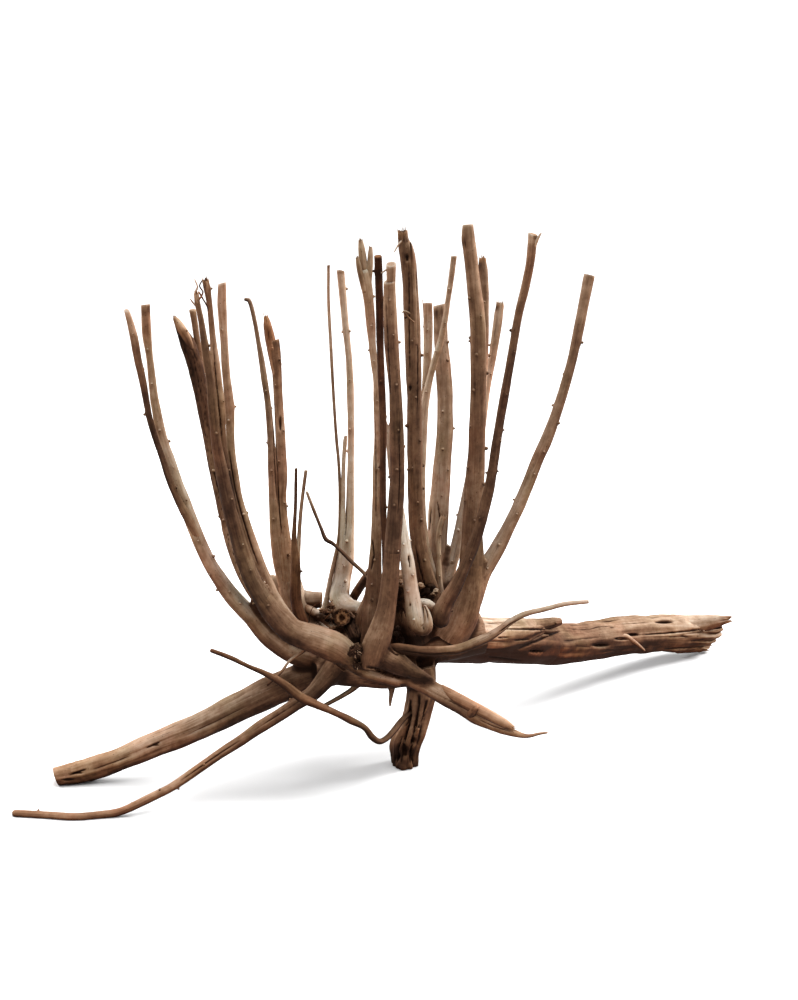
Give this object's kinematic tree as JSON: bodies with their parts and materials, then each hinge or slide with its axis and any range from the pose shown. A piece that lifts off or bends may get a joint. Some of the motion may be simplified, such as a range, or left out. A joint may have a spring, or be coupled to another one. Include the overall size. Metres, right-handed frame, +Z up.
{
  "type": "driftwood stump",
  "caption": "Washed root crown of a shrub: pruned and torn stems fan upward from it, and roots and a broken log spread sideways and carry it.",
  "frame": {"origin": "middle of the flat sole of the short root under the crown, which is the lowest point; +Z is up as the stump rests", "axes": "+X towards the broken log, along the longest extent; +Z up along the stems; the stump's front, as pictured, faces -Y"},
  "size_m": [0.7537, 0.4283, 0.5414],
  "materials": {
    "bare_wood": "bare, weathered, matte"
  },
  "bodies": {
    "root": {"driftwood_stump": "bare_wood"}
  },
  "joints": []
}
